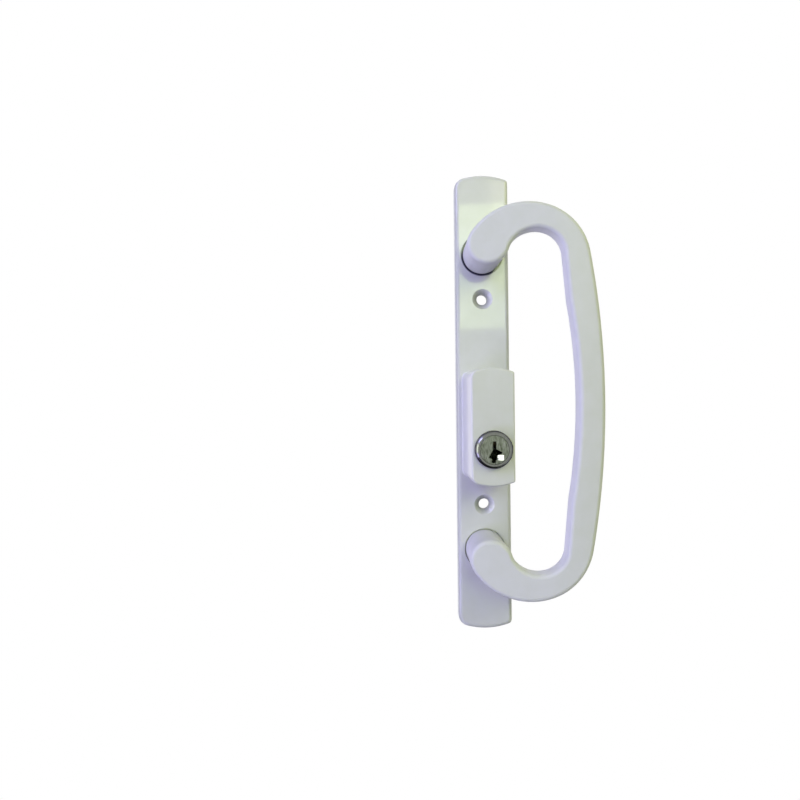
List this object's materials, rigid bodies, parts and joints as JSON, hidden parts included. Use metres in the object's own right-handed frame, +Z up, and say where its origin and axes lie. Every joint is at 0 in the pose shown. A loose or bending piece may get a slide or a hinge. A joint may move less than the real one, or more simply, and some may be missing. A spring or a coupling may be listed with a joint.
{
  "type": "sliding patio door handle",
  "caption": "Outside handle of a sliding patio door: long plate with arched ends, lock housing with a key cylinder, and an offset bow pull with a scooped grip on round posts.",
  "frame": {"origin": "on the door face, midway between the mounting screw holes", "axes": "+X to the side the pull bows out to, +Y into the door, +Z up along the plate"},
  "size_m": [0.0624, 0.075, 0.221],
  "materials": {
    "white_enamel": "gloss",
    "satin_chrome": "satin",
    "brass": "satin",
    "plated_steel": "satin"
  },
  "bodies": {
    "handle": {"escutcheon": "white_enamel", "pull_handle": "white_enamel", "cylinder_shell": "satin_chrome", "chamber_cover": "brass", "driver_pin_1": "brass", "driver_pin_2": "brass", "driver_pin_3": "brass", "driver_pin_4": "brass", "driver_pin_5": "brass", "pull_screws": "plated_steel", "cylinder_retainer": "plated_steel", "retainer_screws": "plated_steel", "pin_spring_1": "plated_steel", "pin_spring_2": "plated_steel", "pin_spring_3": "plated_steel", "pin_spring_4": "plated_steel", "pin_spring_5": "plated_steel"},
    "plug": {"key_plug": "satin_chrome", "plug_clip": "plated_steel", "tailpiece": "plated_steel", "tailpiece_pin": "plated_steel", "key_pin_1": "brass", "key_pin_2": "brass", "key_pin_3": "brass", "key_pin_4": "brass", "key_pin_5": "brass"}
  },
  "joints": [
    {"name": "plug_turn", "type": "hinge", "parent": "handle", "child": "plug", "pos_m": [0, -0.02, -0.0207], "axis": [0, -1, 0], "range_deg": [-90, 90]}
  ]
}
